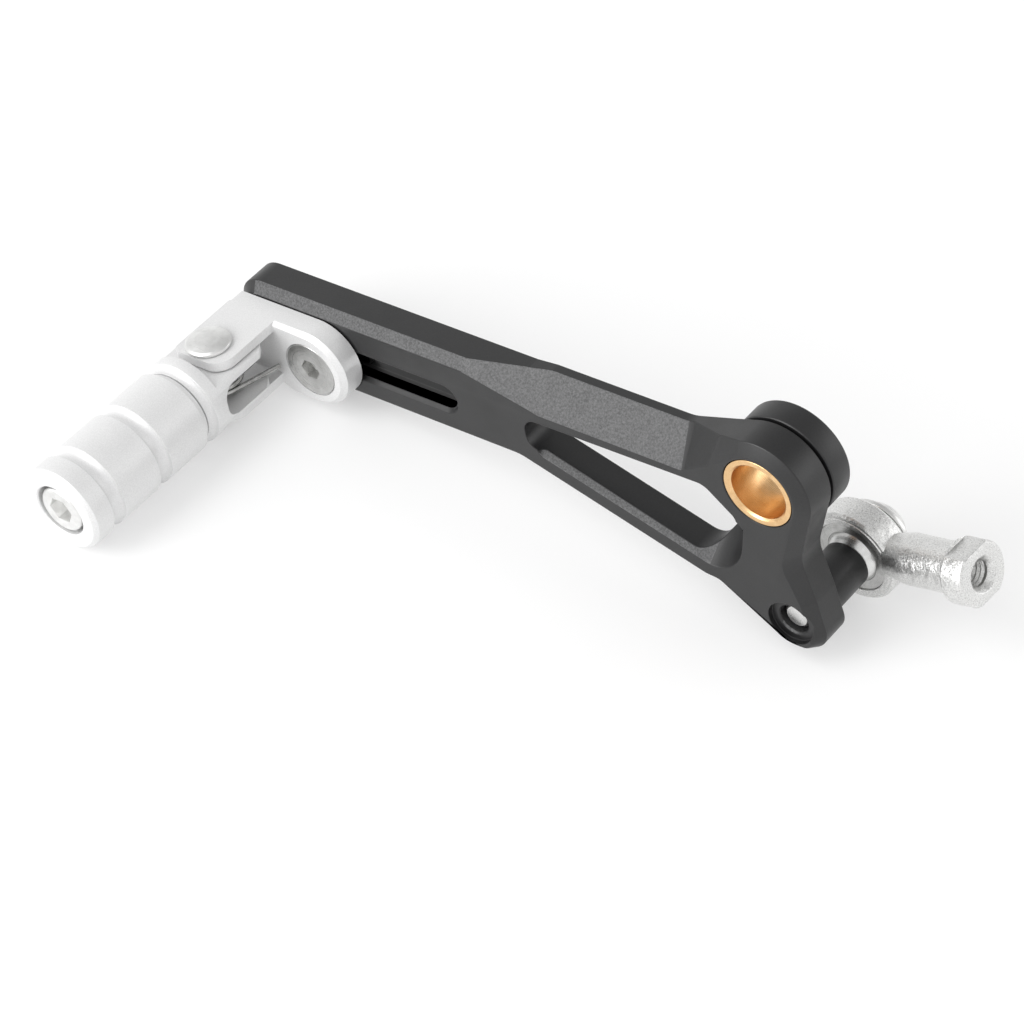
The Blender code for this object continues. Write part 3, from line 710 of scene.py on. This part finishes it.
def plateBlank():
    front = bracketShape["front"]
    top = bracketShape["earTop"]
    end = bracketShape["end"]
    bottom = slotZ - end
    left = bracketShape["left"]
    chamfer = bracketShape["chamfer"]

    def ring(inset, radius):
        return roundOutline([(left + inset * 0.3, top, 0.6), (end - inset, top - inset, radius),
                             (end - inset, bottom + inset, radius), (-6.0, bottom + inset, 3.0),
                             (-10.4, earBottom + inset * 0.3, 3.0), (left + inset * 0.3, earBottom, 0.6)], 20)

    bm = bmesh.new()
    loops = []
    for inset, y in ((chamfer, front), (0, front + chamfer), (0, bracketShape["back"])):
        loops.append([bm.verts.new((x, y, z)) for x, z in ring(inset, end - inset - 0.05)])
    edges = [[bm.edges.new(pair) for pair in zip(loop, loop[1:] + loop[:1])] for loop in loops]
    bmesh.ops.bridge_loops(bm, edges=edges[0] + edges[1])
    bmesh.ops.bridge_loops(bm, edges=edges[1] + edges[2])
    bm.faces.new(loops[0])
    bm.faces.new(list(reversed(loops[2])))
    bmesh.ops.recalc_face_normals(bm, faces=bm.faces)
    return bm


def makeBracket(silver):
    item = asObject(plateBlank())
    left = bracketShape["left"]
    right = bracketShape["earRight"]
    front = bracketShape["front"]
    outer = pinSpot.y - bracketShape["earReach"]
    plan = roundOutline([(left, outer, 1.6), (right, outer, 4.0), (right, front + 2, 0.3),
                         (left, front + 2, 0.3)], 16)
    thick = bracketShape["ear"]
    for low in (bracketShape["earTop"] - thick, earBottom):
        carve(item, inPlan(prism(plan, low, low + thick)), "UNION")
    radius = bracketShape["pinHole"]
    pinHole = turned([(0, -20), (radius, -20), (radius, 10), (0, 10)], 64, "Z")
    bmesh.ops.translate(pinHole, vec=(pinSpot.x - boltX, pinSpot.y, 0), verts=pinHole.verts)
    carve(item, pinHole)
    wide = bracketShape["seat"]
    narrow = bracketShape["boltHole"]
    seat = turned([(0, front - 1), (wide, front - 1), (wide, front + 0.3), (narrow, front + 3.3), (narrow, 1),
                   (0, 1)], 96)
    bmesh.ops.translate(seat, vec=(0, 0, slotZ), verts=seat.verts)
    carve(item, seat)
    radius = bracketShape["dowelHole"]
    hole = turned([(0, front + 2.2), (radius, front + 2.2), (radius, 1), (0, 1)], 48)
    bmesh.ops.translate(hole, vec=(bracketShape["dowelX"], 0, slotZ), verts=hole.verts)
    carve(item, hole)
    easeEdges(item, bracketShape["edge"], 30, 3, True)
    shift = leverPlace @ Matrix.Translation((boltX, 0, 0))
    place(item, "toeBracket", shift, "bracket", silver, "toe_bracket", 22)
    print("bracket made")


fixingShape = {
    "boltHead": 6.05,
    "bolt": 3.0,
    "boltEnd": 7.4,
    "key": 4.0,
    "keyDepth": 2.4,
    "nutEnds": (-12, 6.6),
    "nutHalf": 4.9,
    "nutRound": 2.6,
    "nutBack": (4.4, 7.6),
    "dowel": 2.5,
    "dowelEnd": 4.0,
}


def makeBracketFixings(steel, dark):
    front = bracketShape["front"]
    head = fixingShape["boltHead"]
    thread = fixingShape["bolt"]
    end = fixingShape["boltEnd"]
    profile = softProfile([(0, front + 0.05, 0), (head - 0.15, front + 0.05, 0.12),
                           (head, front + 0.35, 0.05), (thread, front + 3.35, 0.2),
                           (thread, end - 0.5, 0.1), (thread - 0.5, end, 0.1), (0, end, 0)])
    bolt = asObject(turned(profile, 96))
    carve(bolt, hexBar(fixingShape["key"], front - 1, front + fixingShape["keyDepth"]))
    easeEdges(bolt, 0.08, 35, 2)
    place(bolt, "bracketBolt", boltPlace, "bracket", steel, "bracket_bolt")
    left, right = fixingShape["nutEnds"]
    half = fixingShape["nutHalf"]
    radius = fixingShape["nutRound"]
    outline = [(left, half, radius), (right, half, radius), (right, -half, radius), (left, -half, radius)]
    nut = asObject(prism(roundOutline(outline, 8), *fixingShape["nutBack"]))
    carve(nut, turned([(0, 3), (thread + 0.1, 3), (thread + 0.1, 9), (0, 9)], 48))
    easeEdges(nut, 0.3, 35, 2)
    place(nut, "slotNut", boltPlace, "bracket", dark, "slot_nut")
    radius = fixingShape["dowel"]
    end = fixingShape["dowelEnd"]
    dowel = softProfile([(0, front + 2.5, 0), (radius, front + 2.5, 0.4), (radius, end, 0.4), (0, end, 0)])
    dowelPlace = boltPlace @ Matrix.Translation((bracketShape["dowelX"], 0, 0))
    place(asObject(turned(dowel, 48)), "bracketDowel", dowelPlace, "bracket", dark,
          "bracket_dowel")
    print("bracket fixings made")


hingeShape = {
    "pin": 2.9,
    "head": 4.75,
    "hole": 3.05,                             # bore of the washer and the sleeve
    "washer": 4.8,
    "clipHole": 3.0,
    "clip": 4.4,
    "clipGap": 1.3,                           # half the gap in the clip
    "sleeve": 3.9,
    "sleeveEnd": 3.1,
}


def makeHinge(steel, dark):
    top = bracketShape["earTop"] - pegZ
    pin = hingeShape["pin"]
    wide = hingeShape["head"]
    head = softProfile([(0, -top - 1.35, 0), (pin - 0.3, -top - 1.35, 0.2), (pin, -top - 1.0, 0.2),
                        (pin, top + 0.1, 0.05), (wide - 0.25, top + 0.1, 0.1), (wide, top + 0.4, 0.2),
                        (wide, top + 0.85, 0.3), (wide - 0.55, top + 1.2, 0.4), (2.6, top + 1.65, 3.0),
                        (0, top + 1.85, 0)], 6)
    place(asObject(turned(head, 96, "Z")), "hingePin", pegPlace, "bracket", steel,
          "hinge_pin")
    hole = hingeShape["hole"]
    wide = hingeShape["washer"]
    washer = softProfile([(hole, -top - 0.5, 0.05), (wide, -top - 0.5, 0.1), (wide, -top - 0.1, 0.1),
                          (hole, -top - 0.1, 0.05)])
    place(asObject(turned(washer, 64, "Z")), "pinWasher", pegPlace, "bracket", steel,
          "pin_washer")
    inner = hingeShape["clipHole"]
    wide = hingeShape["clip"]
    clip = softProfile([(inner, -top - 1.05, 0.05), (wide, -top - 1.05, 0.08), (wide, -top - 0.65, 0.08),
                        (inner, -top - 0.65, 0.05)])
    clip = asObject(turned(clip, 64, "Z"))
    gap = hingeShape["clipGap"]
    carve(clip, block((0, -gap, -top - 2), (6, gap, -top)))
    place(clip, "pinClip", pegPlace, "bracket", dark, "pin_clip")
    wide = hingeShape["sleeve"]
    end = hingeShape["sleeveEnd"]
    sleeve = softProfile([(hole, -end, 0.1), (wide, -end, 0.15), (wide, end, 0.15), (hole, end, 0.1)])
    place(asObject(turned(sleeve, 64, "Z")), "springSleeve", pegPlace, "peg", steel,
          "spring_sleeve")
    print("hinge made")


springShape = {
    "radius": 4.9,
    "wire": 0.55,
    "gap": 0.12,
    "turns": 3,
    "turnSteps": 48,
    "start": -14,                             # where the coil leaves its first leg, in degrees
    "bottom": -1.9,
    "firstLeg": (7.4, 10.1, -2.8),
    "lastLeg": -5.3,
}


def makeSpring(steel):
    radius = springShape["radius"]
    wire = springShape["wire"]
    pitch = 2 * wire + springShape["gap"]
    start = math.radians(springShape["start"])
    total = springShape["turns"] * 2 * math.pi + start
    steps = springShape["turns"] * springShape["turnSteps"]
    points = [Vector(springShape["firstLeg"])]
    for i in range(steps + 1):
        turn = total * i / steps
        points.append(Vector((radius * math.cos(start - turn), radius * math.sin(start - turn),
                              springShape["bottom"] + pitch * turn / (2 * math.pi))))
    points.append(Vector((radius, springShape["lastLeg"], points[-1].z)))
    curve = bpy.data.curves.new("torsionSpring", "CURVE")
    curve.dimensions = "3D"
    curve.bevel_depth = wire
    curve.bevel_resolution = 4
    curve.use_fill_caps = True
    spline = curve.splines.new("POLY")
    spline.points.add(len(points) - 1)
    for spot, point in zip(spline.points, points):
        spot.co = (*point, 1)
    coil = bpy.data.objects.new("torsionSpring", curve)
    bpy.context.scene.collection.objects.link(coil)
    bpy.context.view_layer.update()
    mesh = bpy.data.meshes.new_from_object(coil.evaluated_get(bpy.context.evaluated_depsgraph_get()))
    bpy.data.objects.remove(coil, do_unlink=True)
    item = bpy.data.objects.new("torsionSpring", mesh)
    bpy.context.scene.collection.objects.link(item)
    place(item, "torsionSpring", pegPlace, "peg", steel, "torsion_spring", 50)
    print("spring made")


pegShape = {
    "radius": 9.4,
    "end": -63.0,
    "step": -24.2,                            # where the round body becomes the flat tongue
    "seam": -28.7,
    "spigot": 5.5,
    "spigotEnd": -36.3,
    "grooves": (-42.6, -56.2),
    "grooveHalf": 1.7,
    "grooveDepth": 1.2,
    "tongue": 5.0,
    "slotHalf": 3.5,
    "slotEnd": -6.9,
    "hole": 3.1,
    "washer": 5.5,
    "screw": 3.0,
    "screwHead": 5.0,
    "screwHeadLength": 5.7,
    "screwLength": 19,
    "key": 5.0,
    "keyDepth": 2.8,
    # plan of the tongue: x, y and radius of each corner
    "tonguePlan": [(-9.9, -12, 0.3), (9.9, -12, 0.3), (9.45, 9.3, 8.9), (-2.2, 9.4, 3.0), (-4.0, 10.2, 0.4),
                   (-9.9, 10.2, 0.6)],
}


def groove(centre, start=0.0, end=math.pi, steps=12):
    # the (radius, along) points of a round-bottomed groove, or of part of one
    points = []
    for i in range(steps + 1):
        angle = start + (end - start) * i / steps
        points.append((pegShape["radius"] - pegShape["grooveDepth"] * math.sin(angle),
                       centre + pegShape["grooveHalf"] * math.cos(angle)))
    return points


def makePeg(silver, steel):
    radius = pegShape["radius"]
    seam = pegShape["seam"] - pinSpot.y
    step = pegShape["step"] - pinSpot.y
    core = [(0, 11.0), (radius, 11.0)] + groove(seam, 0.0, math.pi / 2 - 0.1)
    inner = pegShape["spigotEnd"]
    spigot = pegShape["spigot"]
    core += [(spigot, seam + 0.15), (spigot, inner + 0.3), (spigot - 0.3, inner), (0, inner)]
    body = asObject(turned(core))
    tongue = pegShape["tongue"]
    for low, high in ((tongue, 14), (-14, -tongue)):
        carve(body, block((-14, step, low), (14, 14, high)))
    around = roundOutline([(-15, step - 3, 0.1), (-15, 16, 0.1), (15, 16, 0.1), (15, step - 3, 0.1)], 1)
    around = asObject(inPlan(prism(around, -8, 8)))
    carve(around, inPlan(prism(roundOutline(pegShape["tonguePlan"], 16), -9, 9)))
    shell = bmesh.new()
    shell.from_mesh(around.data)
    bpy.data.objects.remove(around, do_unlink=True)
    carve(body, shell)
    half = pegShape["slotHalf"]
    left = pegShape["slotEnd"]
    slot = prism(roundOutline([(16, half, 0.1), (left, half, 3.0), (left, -half, 3.0), (16, -half, 0.1)]),
                 -12, 12)
    bmesh.ops.rotate(slot, cent=(0, 0, 0), matrix=Matrix.Rotation(math.pi / 2, 3, "Z"), verts=slot.verts)
    carve(body, slot)
    hole = pegShape["hole"]
    carve(body, turned([(0, -9), (hole, -9), (hole, 9), (0, 9)], 64, "Z"))
    carve(body, turned([(0, -50), (hole, -50), (hole, -24), (0, -24)], 48))
    easeEdges(body, 0.2, 35, 3)
    place(body, "pegCore", pegPlace, "peg", silver, "peg_core", 25)

    end = pegShape["end"] - pinSpot.y
    sleeve = groove(seam, math.pi / 2 + 0.1, math.pi)
    for spot in pegShape["grooves"]:
        sleeve += groove(spot - pinSpot.y)
    edge = roundOutline([(radius, end + 3, 0.01), (radius, end + 0.9, 0.3), (radius - 0.9, end, 0.3),
                         (6.0, end, 0.15), (5.75, end + 0.3, 0.1), (5.75, end + 7.4, 0.1),
                         (3.3, end + 7.4, 0.1), (3.3, end + 9.9, 0.1), (5.8, end + 9.9, 0.1),
                         (5.8, seam - 0.2, 0.01)], 4)
    sleeve += [(p.x, p.y) for p in edge]
    place(asObject(turned(sleeve, 128)), "pegSleeve", pegPlace, "peg", silver,
          "peg_sleeve", 30)
    wide = pegShape["washer"]
    washer = softProfile([(3.15, end + 6.3, 0.05), (wide, end + 6.3, 0.15), (wide, end + 7.1, 0.15),
                          (3.15, end + 7.1, 0.05)])
    place(asObject(turned(washer, 64)), "pegWasher", pegPlace, "peg", steel, "peg_washer")
    head = end + 0.3
    wide = pegShape["screwHead"]
    thread = pegShape["screw"]
    under = head + pegShape["screwHeadLength"]
    tip = head + pegShape["screwLength"]
    screw = softProfile([(0, head, 0), (wide - 0.35, head, 0.2), (wide, head + 0.35, 0.2), (wide, under, 0.1),
                         (thread, under, 0.1), (thread, tip - 0.4, 0.1), (thread - 0.4, tip, 0.1),
                         (0, tip, 0)])
    screw = asObject(turned(screw, 64))
    carve(screw, hexBar(pegShape["key"], head - 1, head + pegShape["keyDepth"]))
    easeEdges(screw, 0.1, 35, 2)
    place(screw, "pegScrew", pegPlace, "peg", steel, "peg_screw")
    print("peg made")


rodShape = {
    "ball": 6.35,
    "ballWidth": 9.0,
    "ballBore": 3.1,
    "race": 7.7,
    "raceHalf": 2.9,
    "raceGap": 0.06,
    "eye": 10.0,
    "eyeWidth": 6.75,
    "length": 30.0,
    "collar": 6.5,
    "collarLength": 5.4,
    "flats": 5.5,
    "thread": 2.55,
    "mouth": 3.75,
    "pitch": 1.0,
    "threadStart": 15.2,
}


def makeBall(steel):
    radius = rodShape["ball"]
    half = rodShape["ballWidth"] / 2
    reach = math.asin(half / radius)
    arc = [(radius * math.cos(reach * (2 * i / 32 - 1)), radius * math.sin(reach * (2 * i / 32 - 1)))
           for i in range(33)]
    bore = rodShape["ballBore"]
    ball = arc + [(bore + 0.2, half), (bore, half - 0.2), (bore, 0.2 - half), (bore + 0.2, -half)]
    place(asObject(turned(ball, 96)), "rodEndBall", leverPlace @ Matrix.Translation(ballSpot), "ball",
          steel, "rod_end_ball")
    print("ball made")


def makeRodEnd(zinc, liner):
    half = rodShape["raceHalf"]
    radius = rodShape["ball"] + rodShape["raceGap"]
    reach = math.asin(half / radius)
    arc = [(radius * math.cos(reach * (1 - 2 * i / 24)), radius * math.sin(reach * (1 - 2 * i / 24)))
           for i in range(25)]
    outer = rodShape["race"]
    place(asObject(turned(arc + [(outer, -half), (outer, half)], 96)), "rodEndRace", rodPlace, "rod_end",
          liner, "rod_end_race")
    wide = rodShape["eyeWidth"] / 2
    eye = rodShape["eye"]
    profile = softProfile([(7.8, -wide, 0.25), (8.9, -wide, 0.1), (9.0, -wide + 0.25, 0.1),
                           (9.5, -wide + 0.25, 0.1), (eye, -wide + 0.8, 0.4), (eye, wide - 0.8, 0.4),
                           (9.5, wide - 0.25, 0.1), (9.0, wide - 0.25, 0.1), (8.9, wide, 0.1),
                           (7.8, wide, 0.25)])
    item = asObject(turned(profile, 128))
    length = rodShape["length"]
    collar = rodShape["collar"]
    start = length - rodShape["collarLength"]
    shank = softProfile([(0, 8.4, 0), (4.2, 8.4, 0), (5.1, 13.0, 4.0), (5.0, start, 0.3), (6.2, start, 0.2),
                         (collar, start + 0.4, 0.3), (collar, length - 0.45, 0.25),
                         (collar - 0.45, length, 0.2), (0, length, 0)], 8)
    carve(item, turned(shank, 96, "X"), "UNION")
    minor = rodShape["thread"]
    mouth = rodShape["mouth"]
    thread = [(0, 14.0), (minor - 0.05, 15.0)]
    turns = int((length - 1.4 - rodShape["threadStart"]) / rodShape["pitch"])
    for i in range(turns):
        along = rodShape["threadStart"] + i * rodShape["pitch"]
        thread += [(minor, along), (minor + 0.55, along + rodShape["pitch"] * 0.5)]
    thread += [(minor, length - 1.3), (mouth, length + 0.1), (mouth, length + 3), (0, length + 3)]
    carve(item, turned(thread, 64, "X"))
    for low, high in ((rodShape["flats"], 9), (-9, -rodShape["flats"])):
        carve(item, block((start + 0.3, -9, low), (length + 2, 9, high)))
    easeEdges(item, 0.12, 40, 2)
    place(item, "rodEndHousing", rodPlace, "rod_end", zinc, "rod_end_housing", 30)
    print("rod end made")


linkShape = {
    "hole": 3.15,
    "spacer": 4.95,
    "spacerStart": 8.3,
    "washer": 7.3,
    "bolt": 2.95,
    "boltStart": 2.3,
    "boltHead": 5.25,
    "headHeight": 3.1,
    "key": 4.0,
    "gap": 0.3,
}


def makeLinkFixings(steel, black):
    gap = linkShape["gap"]
    front = ballSpot.y - rodShape["ballWidth"] / 2
    back = ballSpot.y + rodShape["ballWidth"] / 2
    hole = linkShape["hole"]
    wide = linkShape["spacer"]
    start = linkShape["spacerStart"]
    spacer = softProfile([(hole, start, 0.1), (wide, start, 0.3), (wide, front - gap, 0.3),
                          (hole, front - gap, 0.1)])
    place(asObject(turned(spacer)), "linkSpacer", linkPlace, "lever", black, "link_spacer")
    wide = linkShape["washer"]
    washer = softProfile([(hole, back + gap, 0.1), (wide, back + gap, 0.3), (wide, back + 1.5, 0.3),
                          (hole, back + 1.5, 0.1)])
    place(asObject(turned(washer)), "linkWasher", linkPlace, "lever", steel, "link_washer")
    seat = back + 1.8
    start = linkShape["boltStart"]
    thread = linkShape["bolt"]
    wide = linkShape["boltHead"]
    top = seat + linkShape["headHeight"]
    profile = softProfile([(0, start, 0), (thread - 0.7, start, 0.1), (thread, start + 0.7, 0.1),
                           (thread, seat, 0.1), (wide - 0.15, seat, 0.2), (wide, seat + 1.0, 0.4),
                           (4.6, seat + 2.3, 1.0), (3.2, top, 0.8), (0, top, 0)], 6)
    bolt = asObject(turned(profile, 64))
    carve(bolt, hexBar(linkShape["key"], seat + 1.0, seat + 5))
    easeEdges(bolt, 0.1, 35, 2)
    place(bolt, "linkBolt", linkPlace, "lever", steel, "link_bolt")
    print("link fixings made")


camera = {
    "right": (0.7801, 0.6062, -0.1550),       # in the lever's axes
    "up": (-0.3123, 0.5919, 0.7431),
    "back": (0.5422, -0.5312, 0.6510),
    "spot": (332.4, -387.8, 444.2),
    "lens": 130.08,
    "sensor": 36.0,
}


def makeCamera():
    data = bpy.data.cameras.new("studioCamera")
    data.sensor_width = camera["sensor"]
    data.lens = camera["lens"]
    data.clip_start = 0.01
    data.clip_end = 50
    item = bpy.data.objects.new("studioCamera", data)
    bpy.context.scene.collection.objects.link(item)
    turn = leverPlace.to_3x3().normalized()
    axes = [(turn @ Vector(camera[name])).normalized() for name in ("right", "up", "back")]
    matrix = Matrix(axes).transposed().to_4x4()
    matrix.translation = leverPlace @ Vector(camera["spot"])
    item.matrix_world = matrix
    bpy.context.scene.camera = item


stage = {
    "floorSize": 6.0,
    "floorColour": (0.6, 0.6, 0.6),
    "floorGlow": 0.36,
    "skyColour": (1.0, 1.0, 1.0),
    "skyBright": 0.95,                        # towards the horizon and the front
    "skyDim": 0.55,                           # above and behind
    "dimWay": (0.0, 0.53, 0.85),
    # name, spot in metres, size, power in watts
    "lights": [
        ("keyLight", (-0.45, -0.60, 0.95), 0.7, 4.0),
        ("frontLight", (-0.55, -1.05, 0.45), 0.8, 8.0),
        ("backLight", (0.7, 0.9, 0.4), 0.8, 2.0),
    ],
}


def makeFloor():
    bm = bmesh.new()
    bmesh.ops.create_grid(bm, x_segments=1, y_segments=1, size=stage["floorSize"] / 2)
    floor = asObject(bm, "floor")
    made, _, _, shader = newSurface("floorPaper")
    shader.inputs["Base Color"].default_value = (*stage["floorColour"], 1)
    shader.inputs["Roughness"].default_value = 0.9
    shader.inputs["Specular IOR Level"].default_value = 0.0
    shader.inputs["Emission Color"].default_value = (1, 1, 1, 1)
    shader.inputs["Emission Strength"].default_value = stage["floorGlow"]
    floor.data.materials.append(made)


def makeSky():
    # a pale studio that is dimmer above and behind
    world = bpy.data.worlds.new("studio")
    world.use_nodes = True
    nodes = world.node_tree.nodes
    links = world.node_tree.links
    nodes["Background"].inputs["Color"].default_value = (*stage["skyColour"], 1)
    coords = nodes.new("ShaderNodeTexCoord")
    toward = nodes.new("ShaderNodeVectorMath")
    toward.operation = "DOT_PRODUCT"
    toward.inputs[1].default_value = stage["dimWay"]
    links.new(coords.outputs["Generated"], toward.inputs[0])
    links.new(spread(nodes, links, toward.outputs["Value"], stage["skyBright"], stage["skyDim"], 0.5, 0.95),
              nodes["Background"].inputs["Strength"])
    bpy.context.scene.world = world


def makeStage():
    makeFloor()
    makeSky()
    for name, spot, size, power in stage["lights"]:
        data = bpy.data.lights.new(name, "AREA")
        data.shape = "DISK"
        data.size = size
        data.energy = power
        item = bpy.data.objects.new(name, data)
        bpy.context.scene.collection.objects.link(item)
        item.location = spot
        item.rotation_euler = (-Vector(spot)).to_track_quat("-Z", "Y").to_euler()
    bpy.context.scene.view_settings.view_transform = "Standard"
    print("stage made")


def main():
    makeCamera()
    makeStage()
    black = blackAnodised(leverPlace)
    # the milled facets' material, lighter partly as painted light
    milledPaintedLight = milledBlackPaintedLight(leverPlace)
    silver = silverSatin("silverSatin", leverPlace)
    pegSilver = silverSatin("pegSilver", pegPlace, (0.02, 12.0, 0.02))
    bronze = turnedMetal("bushBronze", leverPlace)
    steel = turnedMetal("polishedSteel", linkPlace)
    boltSteel = turnedMetal("boltSteel", boltPlace)
    pegSteel = turnedMetal("pegSteel", pegPlace)
    springSteel = turnedMetal("springSteel", pegPlace)
    dark = turnedMetal("blackenedSteel", boltPlace)
    liner = turnedMetal("raceSteel", rodPlace)
    zinc = zincForged(rodPlace)
    rubber = sealRubber()
    print("materials made")

    makeArm(black, milledPaintedLight)
    makePivot(bronze, black, rubber)
    makeBracket(silver)
    makeBracketFixings(boltSteel, dark)
    makeHinge(pegSteel, dark)
    makeSpring(springSteel)
    makePeg(pegSilver, pegSteel)
    makeBall(steel)
    makeRodEnd(zinc, liner)
    makeLinkFixings(steel, black)


main()
